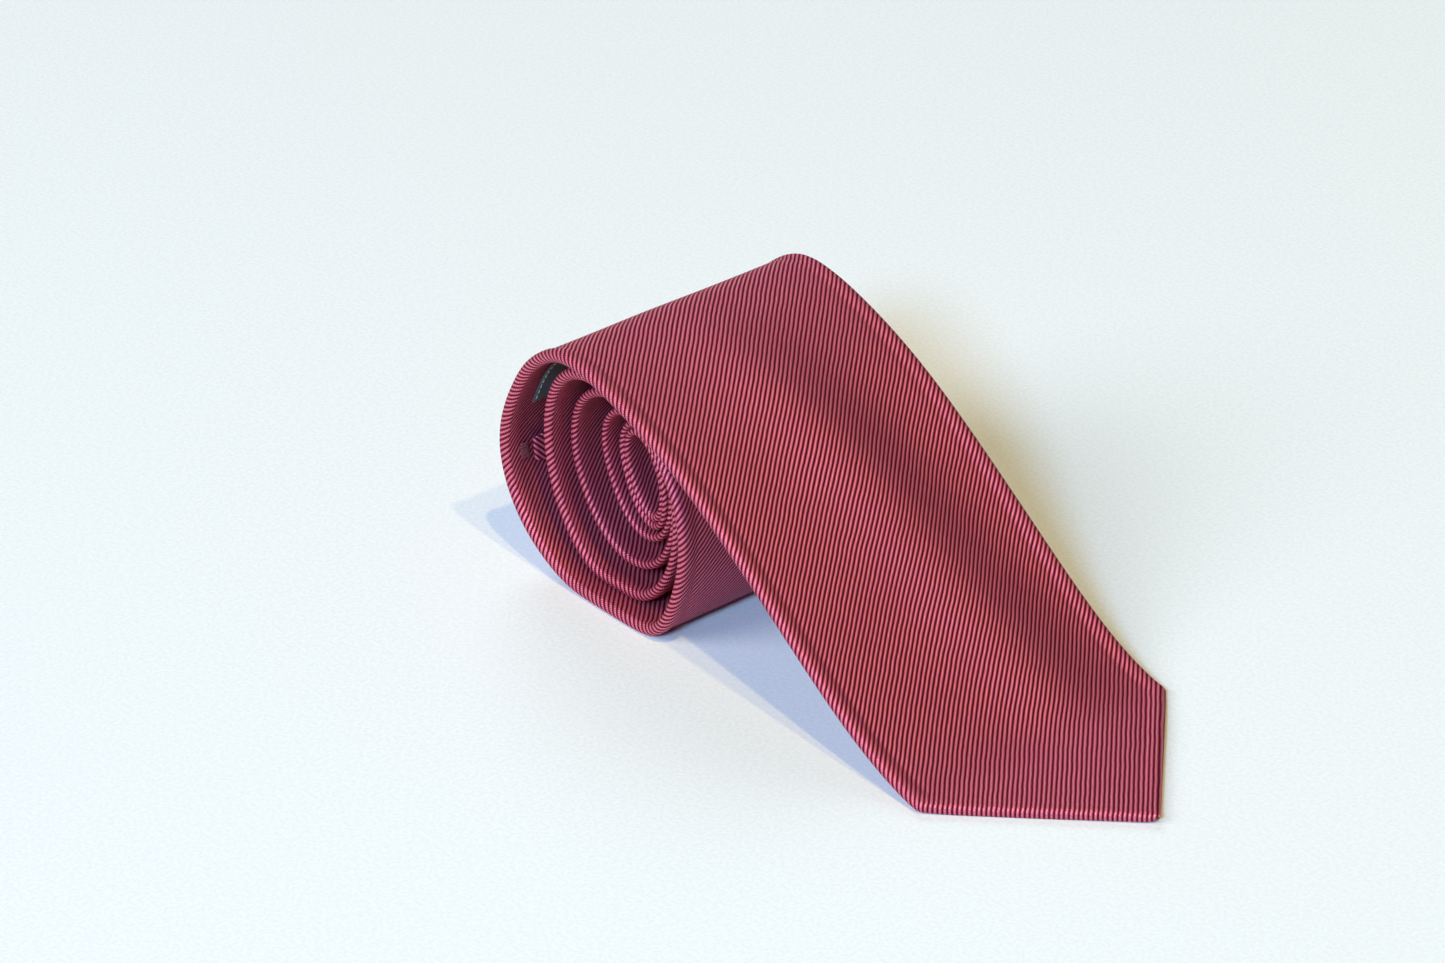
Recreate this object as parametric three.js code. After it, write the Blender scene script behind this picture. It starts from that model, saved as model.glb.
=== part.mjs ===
// A man's dress necktie, rolled up from its narrow end, with its wide blade lying free of the roll.
// Millimetres, +Z up. The roll's axis runs along Y and the free blade points along +X.
// The origin is under the middle of the whole tie, on the surface that it lies on.
//
// The tie is one long folded strip. Its course is a line of stations on the outer (front) face: the flat
// pointed end, the free blade's S-curve up to the roll, and then the turns of the roll. A place s along the
// tie is measured on that face, up from the corners of the point. Every layer is a section in (y, depth),
// where depth is measured from the front face inwards, swept along the stations.
import * as THREE from "three";

// Driving dimensions
const BLADE_WIDTH = 90; // the widest place, at the corners of the point
const POINT_LENGTH = 44; // from the corners to the very point
const TAIL_POINT_LENGTH = 20;
const CORNER_X = 67; // where the corners of the point lie
const CLOTH = 0.45; // shell fabric
const CLEAR = 0.25; // between two layers that touch
const FOLD_CHAMFER = 0.8;
const SEAM_HALF_GAP = 0.75; // half the slot between the two back flaps
const HEM_DEPTH = 17; // the hem of the point, measured across the tie
const VEE_LENGTH = 52; // from the corners up to where the back flaps meet
const BLUNT_TIP = 2; // the tail's smallest half width, and how far the blade's solids stop short of its tip

// Stations on the point, by their distance from its tip. They are close where the hem's flaps meet.
const POINT_STATIONS = [BLUNT_TIP, 8, 17, 18.5, 30];

// The free blade's front face, from the corners up to the roll: the four points of a cubic curve.
const FREE_BLADE_CURVE = [
  [CORNER_X, 3],
  [27.6, 12],
  [-7.3, 56.3],
  [-60.1, 71.8],
];
const FREE_BLADE_STEPS = 14;
const TURNS_TO_ROLL = 0.25; // the share of the curve over which depth turns towards the roll's centre
const TURNS_TO_FLAT = 1 / 7; // and the share over which it turns straight down, next to the point

// The roll: polar angles in degrees round its centre, counted from +X, and radii of the front face.
const ROLL_CENTRE = { x: -69, z: 33.7 };
const STEP_DEGREES = 15;
const OUTER_TURN = [
  [76.8, 39.1],
  [90, 40.3],
  [109, 43],
  [128, 42],
  [150, 39.9],
  [180, 40],
  [209, 38],
  [240, 35.4],
  [270, 35],
  [305, 41.2],
  [315, 41.6],
  [330, 40],
  [350, 38.6],
  [370, 38.2],
  [385, 37.3],
  [400, 36.6],
  [437, 35.7],
  [468, 36.6],
];
const FACES_DOWN = 0.2; // sine of the slope from which the roll's outside may touch the surface below
// The inner turns are leaning ellipses. Each list holds one half-size for every half turn.
const LEAN_DEGREES = 108;
const HALF_LONG = [36.6, 33, 28.8, 25.6, 21.6, 19.2, 16.6, 15.8, 14.2, 13.6, 11.6, 9];
const HALF_SHORT = [25.8, 27.4, 20.8, 19.2, 12.8, 13.2, 9.2, 9.2, 7.1, 7.1, 5];
const TURNS = 6.25;
const TURN_GAP = 0.3;

// Width and thickness of the folded tie along its length
const WIDTHS = [
  [0, BLADE_WIDTH],
  [200, 89.8],
  [290, 88],
  [405, 81],
  [520, 73],
  [675, 62],
  [845, 49],
  [930, 42],
  [1000, 39],
];
const THICK = 3;
const THIN = 1.8;
const THICKNESSES = [
  [350, THICK],
  [750, THIN],
];
const TAIL_THICK = 2.2; // over the tail's lining
const TAIL_LINED = 40;

// Where the pieces begin and end
const HINGE_AT = 130; // where the free blade bends up off the roll
const HINGE_GAP = 0.4;
const BLADE_PANEL_END = 560;
const NECK_PANEL_END = 800;
const PANEL_GAP = 1;
const WOOL_JOIN = 640;
const WOOL_INSET = 5; // short of the blade's tip
const TAIL_INSET = 4; // short of the tail's tip, for the wool and the lining
const BLADE_TIPPING_END = 95;

// Layers inside the shell
const LINING = 0.4;
const TAIL_LINING = 0.25;
const LAYER_INSET = CLOTH + CLEAR + 0.05; // from the folded edges

// Threads and tacks
const SLIP_STITCH = { half: 0.35, outer: 0.1, inner: 0.5, fromVee: 4 };
const BAR_TACK = { length: 1.6, thick: 0.5, bladeHalf: 5, tailHalf: 3, fromVee: 2, fromTailPoint: 12 };

// What is sewn to the back
const LABEL = { from: 172, to: 204, half: 37, thick: 0.5 };
const LABEL_STITCH = { gap: 1.1, thick: 0.4, wide: 0.9, inset: 1 };
const KEEPER = { at: 222, half: 36, bow: 2.4, lift: 2, wide: 6, narrow: 3.4, cloth: 0.7, steps: 12 };
const KEEPER_FLARE = 1.6; // how soon the loop reaches its full width
const KEEPER_TACK = { gap: 0.6, wide: 3, half: 2.5 };
const CARE_LABEL = { from: 236, to: 252, near: 4, far: 20, thick: 0.4 };
const CARE_STITCH = { inset: 1, long: 1, gap: 2 * CLEAR + 0.4, thick: 0.3 };

const COLOURS = {
  shell: 0x96283f,
  wool: 0xd9d2c2,
  lining: 0x5c1426,
  thread: 0xb23a52,
  label: 0x26272b,
  care: 0xe8e6e0,
};
const ROUGHNESSES = { shell: 0.75, wool: 0.95, lining: 0.4, thread: 0.75, label: 0.75, care: 0.35 };

const radians = THREE.MathUtils.degToRad;

// Straight-line interpolation in a list of [place, value] pairs.
function along(list, place) {
  if (place <= list[0][0]) return list[0][1];
  for (let i = 1; i < list.length; i++) {
    if (place <= list[i][0]) {
      const [a, b] = [list[i - 1], list[i]];
      return a[1] + ((b[1] - a[1]) * (place - a[0])) / (b[0] - a[0]);
    }
  }
  return list[list.length - 1][1];
}

// Straight-line interpolation in a list with one value for every half turn.
function everyHalfTurn(list, halfTurns) {
  const pairs = list.map((value, i) => [i, value]);
  return along(pairs, halfTurns);
}

// A smooth curve through a list of [place, value] pairs.
function smoothAlong(list, place) {
  const last = list.length - 1;
  let i = 0;
  while (i < last - 1 && place > list[i + 1][0]) i++;
  const slope = (k) => {
    const [a, b] = [list[Math.max(k - 1, 0)], list[Math.min(k + 1, last)]];
    return (b[1] - a[1]) / (b[0] - a[0]);
  };
  const [a, b] = [list[i], list[i + 1]];
  const span = b[0] - a[0];
  const u = Math.min(Math.max((place - a[0]) / span, 0), 1);
  const [u2, u3] = [u * u, u * u * u];
  return (
    (2 * u3 - 3 * u2 + 1) * a[1] +
    (u3 - 2 * u2 + u) * span * slope(i) +
    (3 * u2 - 2 * u3) * b[1] +
    (u3 - u2) * span * slope(i + 1)
  );
}

// The front face's radius at an angle of the roll, before the turns are kept apart.
function wantedRadius(angle) {
  const lastOfOuter = OUTER_TURN[OUTER_TURN.length - 1][0];
  if (angle <= lastOfOuter) {
    const radius = smoothAlong(OUTER_TURN, angle);
    const down = -Math.sin(radians(angle));
    return down > FACES_DOWN ? Math.min(radius, ROLL_CENTRE.z / down) : radius;
  }
  const halfTurns = (angle - lastOfOuter) / 180;
  const long = everyHalfTurn(HALF_LONG, halfTurns);
  const short = everyHalfTurn(HALF_SHORT, Math.max(halfTurns - 0.5, 0));
  const lean = radians(angle - LEAN_DEGREES);
  return 1 / Math.hypot(Math.cos(lean) / long, Math.sin(lean) / short);
}

const freeBlade = new THREE.CubicBezierCurve(
  ...FREE_BLADE_CURVE.map(([x, z]) => new THREE.Vector2(x, z)),
);

function inwards(angle) {
  return new THREE.Vector2(-Math.cos(radians(angle)), -Math.sin(radians(angle)));
}

// A station: a point on the front face, the unit direction from there into the tie, and its place s.
function station(x, z, into, s) {
  return { x, z, intoX: into.x, intoZ: into.y, s };
}

// The next station, whose s follows from the one before it.
function stationAfter(before, x, z, into) {
  return station(x, z, into, before.s + Math.hypot(x - before.x, z - before.z));
}

function layPoint() {
  const down = new THREE.Vector2(0, -1);
  const [cornerX, z] = FREE_BLADE_CURVE[0];
  return POINT_STATIONS.map((fromTip) => {
    const x = cornerX + POINT_LENGTH - fromTip;
    return station(x, z, down, cornerX - x);
  });
}

function layFreeBlade() {
  const down = new THREE.Vector2(0, -1);
  const inAtRoll = inwards(OUTER_TURN[0][0]);
  const laid = [];
  for (let i = 0; i <= FREE_BLADE_STEPS; i++) {
    const share = i / FREE_BLADE_STEPS;
    const at = freeBlade.getPointAt(share);
    const tangent = freeBlade.getTangentAt(share);
    const nearRoll = Math.max(0, 1 - (1 - share) / TURNS_TO_ROLL);
    const nearPoint = Math.max(0, 1 - share / TURNS_TO_FLAT);
    const into = new THREE.Vector2(-tangent.y, tangent.x);
    into.lerp(inAtRoll, nearRoll).lerp(down, 0.5 * nearPoint).normalize();
    laid.push(i === 0 ? station(at.x, at.y, into, 0) : stationAfter(laid[i - 1], at.x, at.y, into));
  }
  return laid;
}

// The turns are laid from the outside in, and each is kept inside the turn before it.
function layRoll(last) {
  const laid = [last];
  const radii = new Map();
  const stepsInTurn = 360 / STEP_DEGREES;
  const firstStep = Math.ceil(OUTER_TURN[0][0] / STEP_DEGREES);
  const lastStep = 90 / STEP_DEGREES + TURNS * stepsInTurn;
  for (let step = firstStep; step <= lastStep; step++) {
    const angle = step * STEP_DEGREES;
    const outside = radii.get(step - stepsInTurn);
    let radius = wantedRadius(angle);
    if (outside) radius = Math.min(radius, outside.radius - outside.thickness - TURN_GAP);
    const into = inwards(angle);
    const [x, z] = [ROLL_CENTRE.x - radius * into.x, ROLL_CENTRE.z - radius * into.y];
    const here = stationAfter(laid[laid.length - 1], x, z, into);
    laid.push(here);
    radii.set(step, { radius, thickness: along(THICKNESSES, here.s) });
  }
  return laid.slice(1);
}

const free = layFreeBlade();
const stations = [...layPoint(), ...free, ...layRoll(free[free.length - 1])];
const START = stations[0].s;
const END = stations[stations.length - 1].s;
const TAIL_TACK_AT = END - TAIL_POINT_LENGTH - BAR_TACK.fromTailPoint;

// The tie's own shape at a place along it.
function shapeAt(s) {
  let half = along(WIDTHS, s) / 2;
  if (s < 0) half = (BLADE_WIDTH / 2) * (1 + s / POINT_LENGTH);
  const toEnd = END - s;
  const pointed = toEnd < TAIL_POINT_LENGTH;
  if (pointed) half = Math.max(half * (toEnd / TAIL_POINT_LENGTH), BLUNT_TIP);
  let thickness = along(THICKNESSES, s);
  if (toEnd < TAIL_LINED) thickness = TAIL_THICK;
  let flap = SEAM_HALF_GAP;
  if (s < 0) flap = Math.max(SEAM_HALF_GAP, half - HEM_DEPTH);
  else if (s < VEE_LENGTH) flap = (half - HEM_DEPTH) * (1 - s / VEE_LENGTH) + SEAM_HALF_GAP;
  const slanted = s < 0 || pointed ? Math.SQRT2 : 1;
  return { s, half, thickness, flap, slanted };
}

// The stretch of stations between two places, with both ends put in on the straight lines between stations.
const SAME_PLACE = 0.05;
function stretch(from, to) {
  const between = stations.filter((one) => one.s > from + SAME_PLACE && one.s < to - SAME_PLACE);
  return [placeAt(from), ...between, placeAt(to)];
}

function placeAt(s) {
  let i = 1;
  while (i < stations.length - 1 && stations[i].s < s) i++;
  const [a, b] = [stations[i - 1], stations[i]];
  const u = (s - a.s) / (b.s - a.s);
  const mix = (key) => a[key] + (b[key] - a[key]) * u;
  return { x: mix("x"), z: mix("z"), intoX: mix("intoX"), intoZ: mix("intoZ"), s };
}

function pointOn(place, y, depth) {
  return [place.x + place.intoX * depth, y, place.z + place.intoZ * depth];
}

// A closed solid from rings of points: each ring has the same count, and the end rings are capped.
function solidFromRings(rings, capOutline) {
  const count = rings[0].length;
  const positions = rings.flat(2);
  const index = [];
  for (let r = 0; r < rings.length - 1; r++) {
    for (let k = 0; k < count; k++) {
      const next = (k + 1) % count;
      const [a, b] = [r * count + k, r * count + next];
      index.push(a, b, b + count, a, b + count, a + count);
    }
  }
  const capFor = (outline, start, turned) => {
    const contour = outline.map(([u, v]) => new THREE.Vector2(u, v));
    const windsLeft = THREE.ShapeUtils.area(contour) > 0;
    for (const [a, b, c] of THREE.ShapeUtils.triangulateShape(contour, [])) {
      const facesLeft = THREE.ShapeUtils.area([contour[a], contour[b], contour[c]]) > 0;
      if (turned === (facesLeft === windsLeft)) index.push(start + a, start + b, start + c);
      else index.push(start + a, start + c, start + b);
    }
  };
  capFor(capOutline[0], 0, false);
  capFor(capOutline[1], (rings.length - 1) * count, true);
  const geometry = new THREE.BufferGeometry();
  geometry.setAttribute("position", new THREE.Float32BufferAttribute(positions, 3));
  geometry.setIndex(index);
  if (signedVolume(geometry) < 0) {
    for (let i = 0; i < index.length; i += 3) [index[i], index[i + 1]] = [index[i + 1], index[i]];
    geometry.setIndex(index);
  }
  geometry.computeVertexNormals();
  return geometry;
}

function signedVolume(geometry) {
  const position = geometry.getAttribute("position");
  const index = geometry.getIndex();
  const [a, b, c] = [new THREE.Vector3(), new THREE.Vector3(), new THREE.Vector3()];
  let six = 0;
  for (let i = 0; i < index.count; i += 3) {
    a.fromBufferAttribute(position, index.getX(i));
    b.fromBufferAttribute(position, index.getX(i + 1));
    c.fromBufferAttribute(position, index.getX(i + 2));
    six += a.dot(b.cross(c));
  }
  return six;
}

// Sweeps a section along the tie. The section is a function of the shape there, and gives [y, depth] points.
function sweep(from, to, section) {
  const places = stretch(from, to);
  const outlines = places.map((place) => section(shapeAt(place.s)));
  const rings = places.map((place, i) => outlines[i].map(([y, depth]) => pointOn(place, y, depth)));
  return solidFromRings(rings, [outlines[0], outlines[outlines.length - 1]]);
}

// The shell: front face, two folded edges and two back flaps that stop short of each other at the seam.
function shellSection({ half, thickness, flap, slanted }) {
  const inner = half - CLOTH * slanted;
  const side = [
    [flap, thickness - CLOTH],
    [flap, thickness],
    [half - FOLD_CHAMFER, thickness],
    [half, thickness - FOLD_CHAMFER],
    [half, FOLD_CHAMFER],
    [half - FOLD_CHAMFER, 0],
  ];
  const inside = [
    [inner, CLOTH],
    [inner, thickness - CLOTH],
  ];
  const mirrored = (points) => points.map(([y, depth]) => [-y, depth]).reverse();
  return [...side, ...mirrored(side), ...mirrored(inside), ...inside];
}

function slab(halfWidth, top, bottom) {
  return [
    [halfWidth, top],
    [halfWidth, bottom],
    [-halfWidth, bottom],
    [-halfWidth, top],
  ];
}

function hasTipping(s) {
  return s <= BLADE_TIPPING_END;
}

function hasTailTipping(s) {
  return END - s < TAIL_LINED;
}

function woolSection({ s, half, thickness, slanted }) {
  let bottom = thickness - CLOTH - CLEAR;
  if (hasTipping(s)) bottom -= CLEAR + LINING;
  if (hasTailTipping(s)) bottom -= CLEAR + TAIL_LINING;
  return slab(half - LAYER_INSET * slanted, CLOTH + CLEAR, bottom);
}

function liningSection(lining) {
  return ({ half, thickness, slanted }) => {
    const bottom = thickness - CLOTH - CLEAR;
    return slab(half - LAYER_INSET * slanted, bottom - lining, bottom);
  };
}

// The slip stitch runs down the slot between the back flaps.
function threadSection({ thickness }) {
  return slab(SLIP_STITCH.half, thickness - SLIP_STITCH.inner, thickness - SLIP_STITCH.outer);
}

// A flat piece that lies on the tie's back, between two places across it.
function onBack(near, far, gap, thick) {
  return ({ thickness }) => [
    [far, thickness + gap],
    [far, thickness + gap + thick],
    [near, thickness + gap + thick],
    [near, thickness + gap],
  ];
}

// The keeper loop bows away from the tie's back between its two stitched ends.
function keeperLoop() {
  const place = placeAt(KEEPER.at);
  const { thickness } = shapeAt(KEEPER.at);
  const [acrossX, acrossZ] = [-place.intoZ, place.intoX];
  const rings = [];
  for (let i = 0; i <= KEEPER.steps; i++) {
    const v = (2 * i) / KEEPER.steps - 1;
    const arch = 1 - v * v;
    const wide = KEEPER.narrow + (KEEPER.wide - KEEPER.narrow) * Math.min(1, arch * KEEPER_FLARE);
    const middle = thickness + KEEPER.lift + KEEPER.bow * arch;
    const corner = (side, up) => {
      const [x, y, z] = pointOn(place, v * KEEPER.half, middle + (up * KEEPER.cloth) / 2);
      return [x + acrossX * side * wide, y, z + acrossZ * side * wide];
    };
    rings.push([corner(1, 1), corner(1, -1), corner(-1, -1), corner(-1, 1)]);
  }
  const square = slab(1, 0, 1);
  return solidFromRings(rings, [square, square]);
}

const tie = new THREE.Group();
function add(name, geometry, finish) {
  const material = new THREE.MeshStandardMaterial({
    color: COLOURS[finish],
    roughness: ROUGHNESSES[finish],
    metalness: 0,
  });
  const mesh = new THREE.Mesh(geometry, material);
  mesh.name = name;
  tie.add(mesh);
}

function addShell() {
  add("blade_shell_free", sweep(START, HINGE_AT - HINGE_GAP / 2, shellSection), "shell");
  add("blade_shell_coil", sweep(HINGE_AT + HINGE_GAP / 2, BLADE_PANEL_END, shellSection), "shell");
  add("neck_shell", sweep(BLADE_PANEL_END + PANEL_GAP, NECK_PANEL_END, shellSection), "shell");
  add("tail_shell", sweep(NECK_PANEL_END + PANEL_GAP, END, shellSection), "shell");
  for (const [name, seam] of [
    ["blade_neck_seam", BLADE_PANEL_END],
    ["neck_tail_seam", NECK_PANEL_END],
  ]) {
    add(name, sweep(seam + CLEAR, seam + PANEL_GAP - CLEAR, shellSection), "thread");
  }
}

function addInside() {
  const woolStart = -POINT_LENGTH + WOOL_INSET;
  const tailStart = END - TAIL_LINED + BLUNT_TIP;
  const tailStop = END - TAIL_INSET;
  add("interlining_free", sweep(woolStart, HINGE_AT - HINGE_GAP / 2, woolSection), "wool");
  add("interlining_blade", sweep(HINGE_AT + HINGE_GAP / 2, WOOL_JOIN, woolSection), "wool");
  add("interlining_tail", sweep(WOOL_JOIN + CLEAR, tailStop, woolSection), "wool");
  add("blade_tipping", sweep(woolStart, BLADE_TIPPING_END, liningSection(LINING)), "lining");
  add("tail_tipping", sweep(tailStart, tailStop, liningSection(TAIL_LINING)), "lining");
}

function addClosing() {
  const first = VEE_LENGTH + SLIP_STITCH.fromVee;
  add("slip_stitch_free", sweep(first, HINGE_AT - HINGE_GAP / 2, threadSection), "thread");
  add("slip_stitch_coil", sweep(HINGE_AT + HINGE_GAP / 2, TAIL_TACK_AT, threadSection), "thread");
  for (const [name, at, half] of [
    ["blade_bar_tack", VEE_LENGTH + BAR_TACK.fromVee, BAR_TACK.bladeHalf],
    ["tail_bar_tack", TAIL_TACK_AT, BAR_TACK.tailHalf],
  ]) {
    const [from, to] = [at - BAR_TACK.length / 2, at + BAR_TACK.length / 2];
    add(name, sweep(from, to, onBack(-half, half, CLEAR, BAR_TACK.thick)), "thread");
  }
}

function addLabelsAndKeeper() {
  const onLabel = onBack(-LABEL.half, LABEL.half, CLEAR, LABEL.thick);
  add("maker_label", sweep(LABEL.from, LABEL.to, onLabel), "label");
  add("keeper_loop", keeperLoop(), "shell");
  for (const [word, side] of [
    ["near", -1],
    ["far", 1],
  ]) {
    // Both pieces end at the larger distance from the middle of the tie, on this side of it.
    const across = (inner, outer) => (side < 0 ? [-outer, -inner] : [inner, outer]);
    const stitchOuter = LABEL.half - LABEL_STITCH.wide / 2;
    const stitch = across(stitchOuter - LABEL_STITCH.wide, stitchOuter);
    const [from, to] = [LABEL.from + LABEL_STITCH.inset, LABEL.to - LABEL_STITCH.inset];
    const stitchSection = onBack(...stitch, LABEL_STITCH.gap, LABEL_STITCH.thick);
    add(`label_stitch_${word}`, sweep(from, to, stitchSection), "thread");
    const tackInner = KEEPER.half + KEEPER_TACK.gap;
    const tack = across(tackInner, tackInner + KEEPER_TACK.wide);
    const tackSection = onBack(...tack, CLEAR, KEEPER.lift);
    const [low, high] = [KEEPER.at - KEEPER_TACK.half, KEEPER.at + KEEPER_TACK.half];
    add(`keeper_tack_${word}`, sweep(low, high, tackSection), "thread");
  }
  const careSection = onBack(CARE_LABEL.near, CARE_LABEL.far, CLEAR, CARE_LABEL.thick);
  add("care_label", sweep(CARE_LABEL.from, CARE_LABEL.to, careSection), "care");
  const stitchFrom = CARE_LABEL.from + CARE_STITCH.inset;
  const [near, far] = [CARE_LABEL.near + CARE_STITCH.inset, CARE_LABEL.far - CARE_STITCH.inset];
  const careStitchSection = onBack(near, far, CARE_STITCH.gap, CARE_STITCH.thick);
  add("care_label_stitch", sweep(stitchFrom, stitchFrom + CARE_STITCH.long, careStitchSection), "thread");
}

addShell();
addInside();
addClosing();
addLabelsAndKeeper();

export default tie;
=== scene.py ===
"""A rolled necktie in twill silk, lying on a pale floor.

Every layer of the tie follows one course: the flat point, the free blade's rise onto the roll, and the
turns of the roll. A place on the tie is (s, y, depth), in millimetres: s is measured up the front face from
the corners of the point, y across the tie, and depth from the front face towards the back.
"""

import math

import bmesh
import bpy
import numpy as np
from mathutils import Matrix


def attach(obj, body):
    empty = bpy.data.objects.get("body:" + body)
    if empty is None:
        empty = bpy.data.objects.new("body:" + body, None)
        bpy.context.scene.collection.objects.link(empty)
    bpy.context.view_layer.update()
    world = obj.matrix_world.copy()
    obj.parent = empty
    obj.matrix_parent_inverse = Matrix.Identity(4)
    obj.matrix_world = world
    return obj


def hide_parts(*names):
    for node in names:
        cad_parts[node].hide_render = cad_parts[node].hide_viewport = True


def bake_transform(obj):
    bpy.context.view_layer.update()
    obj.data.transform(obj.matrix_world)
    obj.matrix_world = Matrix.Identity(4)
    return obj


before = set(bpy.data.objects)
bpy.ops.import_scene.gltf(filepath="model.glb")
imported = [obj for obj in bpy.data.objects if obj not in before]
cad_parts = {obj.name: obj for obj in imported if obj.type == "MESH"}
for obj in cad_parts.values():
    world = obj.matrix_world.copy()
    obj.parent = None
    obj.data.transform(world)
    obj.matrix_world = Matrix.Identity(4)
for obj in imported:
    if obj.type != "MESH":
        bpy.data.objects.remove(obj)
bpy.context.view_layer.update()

MM = 0.001  # a millimetre in metres

# ---------------------------------------------------------------- the tie's own measures, in millimetres
RESTS_AT = 0.02  # no cloth is lower than this
BLADE_WIDTH = 90.0  # the widest place, at the corners of the point
POINT_LENGTH = 44.0
TAIL_POINT_LENGTH = 20.0
CORNER_X = 67.0  # where the corners of the point lie
WIDTHS = [(0, 90), (200, 89.8), (290, 88), (405, 81), (520, 73), (675, 62), (845, 49), (930, 42), (1000, 39)]
THICK = 3.0  # the folded tie at the blade
THIN = 1.8  # and at the neck
THICKNESSES = [(350, THICK), (750, THIN)]
TAIL_THICK = 2.2  # where the tail is lined
TAIL_LINED = 40.0
TAIL_THICKENS_OVER = 10.0
TIP_ROUNDING = 3.0  # the points thin out over this last half width

CLOTH = 0.4  # the shell's fabric
HEM_DEPTH = 17.0  # the hem of the blade's point, measured across the tie
TAIL_HEM_DEPTH = 6.0
VEE_LENGTH = 52.0  # from the corners up to where the back flaps meet
TAIL_VEE_SLOPE = 0.6  # how fast the flaps open towards the tail's tip
FLAP_GAP = 0.12  # half the slot between the closed back flaps
TURNED_UNDER = 6.0  # the raw edge inside each flap
BLADE_PANEL_END = 560.0
NECK_PANEL_END = 800.0
PANEL_GAP = 0.3
TIP_CLEAR = 0.15  # how far the shell stops short of each very tip
SEAM_LAP = 0.2
SEAM_SUNK = 0.12

WOOL_JOIN = 640.0
WOOL_FROM_POINT = 5.0  # how far the wool stops short of the blade's tip
WOOL_FROM_TAIL = 4.0
WOOL_CLEAR = 0.35  # between the wool and the shell's folds and flaps
WOOL_FRONT_CLEAR = 0.1
BLADE_TIPPING_END = 95.0
TIPPING_CLEAR = 0.4
TIPPING_SWELL = 0.45  # where the flaps leave the lining uncovered

SLIP_STITCH_RADIUS = 0.13
SLIP_STITCH_LENGTH = 7.0
SLIP_STITCH_SWING = 0.55  # to each side of the slot
SLIP_STITCH_DIVE = 0.5  # how deep it goes at the end of each swing
BLADE_TACK_AT = VEE_LENGTH + 2
TAIL_TACK_FROM_END = 32.0
TACK_LENGTH = 1.6
TAIL_TACK_LENGTH = 1.2
WRAP_PITCH = 0.32  # the wraps of a bar tack

# from, to and at are along the tie. near, far and half are across it, from its middle line.
LABEL = {"from": 172.0, "to": 204.0, "half": 37.0, "thick": 0.28}
CARE_LABEL = {"from": 236.0, "to": 252.0, "near": 4.0, "far": 20.0, "thick": 0.2}
# The loop stands off the back by lift at its ends and by bow more in the middle. wide and narrow are half
# its width in the middle and at its ends.
KEEPER = {"at": 222.0, "half": 36.0, "bow": 2.4, "lift": 2.0, "wide": 6.0, "narrow": 3.4, "half_thick": 0.32}
KEEPER_TACK_OUT = 2.1  # from the loop's end to the middle of its tack
KEEPER_TACK_HALF = {"along": 2.2, "across": 1.3}
# How far above the tie's back the middle of each stitch lies
LABEL_STITCH_RISE = 0.66
CARE_STITCH_RISE = 0.46
KEEPER_STITCH_RISE = 0.5

# The free blade's long soft fold: a ridge with a trough beside it, both slanting across the tie. Their
# places are measured across the tie from a line that crosses it.
FOLD_LINE = {"at": 33.0, "slope": 0.13}
FOLD_RIDGE = {"at": -17.0, "height": 2.8, "width": 13.0, "ends": 115.0, "over": 70.0}
FOLD_TROUGH = {"at": 9.0, "height": 1.3, "width": 11.0, "ends": 95.0, "over": 40.0}
FOLD_BEGINS = -25.0
FOLD_GROWS_OVER = 50.0
UNEVEN = 0.16  # the slow waves everywhere along the tie

# The shell's cloth sinks towards the wool from its puffed edges inwards. All of it fades out at the tips.
SINK = {"from_edge": 2.5, "over": 7.0, "depth": 0.3}
BACK_SINKS = 0.6  # as a share of what the front does
GROOVE = {"from_edge": 5.4, "depth": 0.34, "width": 1.4}
FRONT_PUFF = {"from_edge": 2.6, "height": 0.16, "width": 1.5}
BACK_PUFF = {"from_edge": 2.2, "height": 0.65, "width": 1.5}
CREASES = {"at": 226.0, "reach": 24.0, "pitch": 15.0, "slant": 0.9, "height": 1.1}
CREASES_ACROSS = {"from_edge": 1.0, "grow_over": 2.5, "fade_from": 4.0, "fade_over": 3.2}

# ---------------------------------------------------------------- the course of the front face
# The free blade is a cubic curve in (x, z). The outer turn is (angle in degrees, radius) round ROLL_CENTRE.
FREE_BLADE_CURVE = [(CORNER_X, 3.0), (27.6, 12.0), (-7.3, 56.3), (-60.1, 71.8)]
ROLL_CENTRE = (-69.0, 33.7)
OUTER_TURN = [
    (76.8, 39.1),
    (90, 40.3),
    (109, 43),
    (128, 42),
    (150, 39.9),
    (180, 40),
    (209, 38),
    (240, 35.4),
    (270, 35),
    (305, 41.2),
    (315, 41.6),
    (330, 40),
    (350, 38.6),
    (370, 38.2),
    (385, 37.3),
    (400, 36.6),
    (437, 35.7),
    (468, 36.6),
]
# The inner turns are ovals that lean. These are their half axes, one for each further half turn.
LEAN_DEGREES = 108.0
HALF_LONG = [36.6, 33, 28.8, 25.6, 21.6, 19.2, 16.6, 15.8, 14.2, 13.6, 11.6, 9]
HALF_SHORT = [25.8, 27.4, 20.8, 19.2, 12.8, 13.2, 9.2, 9.2, 7.1, 7.1, 5]
TURNS = 6.25
LAST_ANGLE = 90 + 360 * TURNS
TURN_GAP = 0.3
# The course is smoothed by averaging. The core's bends are tighter, so it is smoothed over a shorter length.
SMOOTHING = 14
CORE_SMOOTHING = 4
CORE_FROM = 820.0
CORE_SETS_IN_OVER = 120.0
# The narrow end was rolled a little askew
ASKEW = 4.0
ASKEW_OVER = 110.0


def along(pairs, place):
    """Straight-line interpolation in (place, value) pairs."""
    places, values = zip(*pairs)
    return np.interp(place, places, values)


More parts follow.
